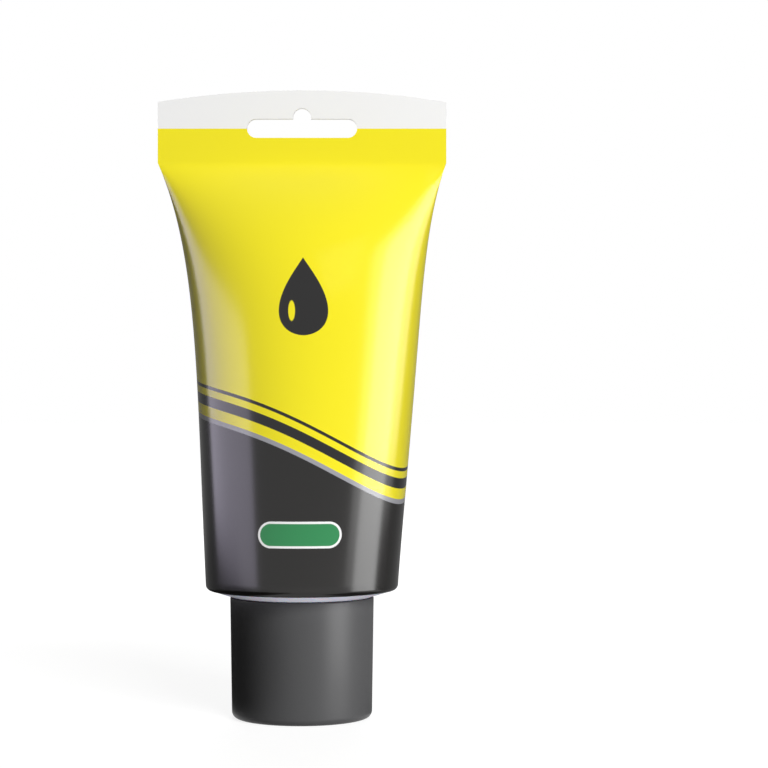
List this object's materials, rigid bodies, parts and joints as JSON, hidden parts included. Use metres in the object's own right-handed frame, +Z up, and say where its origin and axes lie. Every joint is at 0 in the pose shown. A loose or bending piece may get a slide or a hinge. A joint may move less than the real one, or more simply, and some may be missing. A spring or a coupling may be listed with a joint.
{
  "type": "grease tube",
  "caption": "Squeeze tube of grease: a round printed plastic sleeve flattened to a sealed end with a hang slot, closed by a plain screw cap on which it stands.",
  "frame": {"origin": "middle of the flat closed end of the cap, on which the tube stands", "axes": "+Z up along the tube from the cap to the flat seal, +X along the width of the seal, the printed front looks to -Y"},
  "size_m": [0.0676, 0.045, 0.1467],
  "materials": {
    "cap_plastic": "satin moulded",
    "liner_foam": "matt foamed",
    "shoulder_plastic": "satin moulded",
    "membrane_foil": "dull foil",
    "sleeve_print": "glossy print",
    "grease": "greasy"
  },
  "bodies": {
    "cap": {"screw_cap": "cap_plastic"},
    "liner": {"cap_liner": "liner_foam"},
    "tube": {"tube_sleeve": "sleeve_print", "shoulder_neck": "shoulder_plastic", "mouth_membrane": "membrane_foil", "grease_fill": "grease"}
  },
  "joints": [
    {"name": "cap_turn", "type": "hinge", "parent": "cap", "child": "liner", "pos_m": [0, 0, 0.0165], "axis": [0, 0, 1], "range_deg": [0, 1080]},
    {"name": "cap_lift", "type": "slide", "parent": "liner", "child": "tube", "axis": [0, 0, 1], "range_m": [0, 0.0096]}
  ],
  "couplings": [
    {"joint": "cap_lift", "follows": "cap_turn", "m_per_rad": 0.00050929}
  ]
}
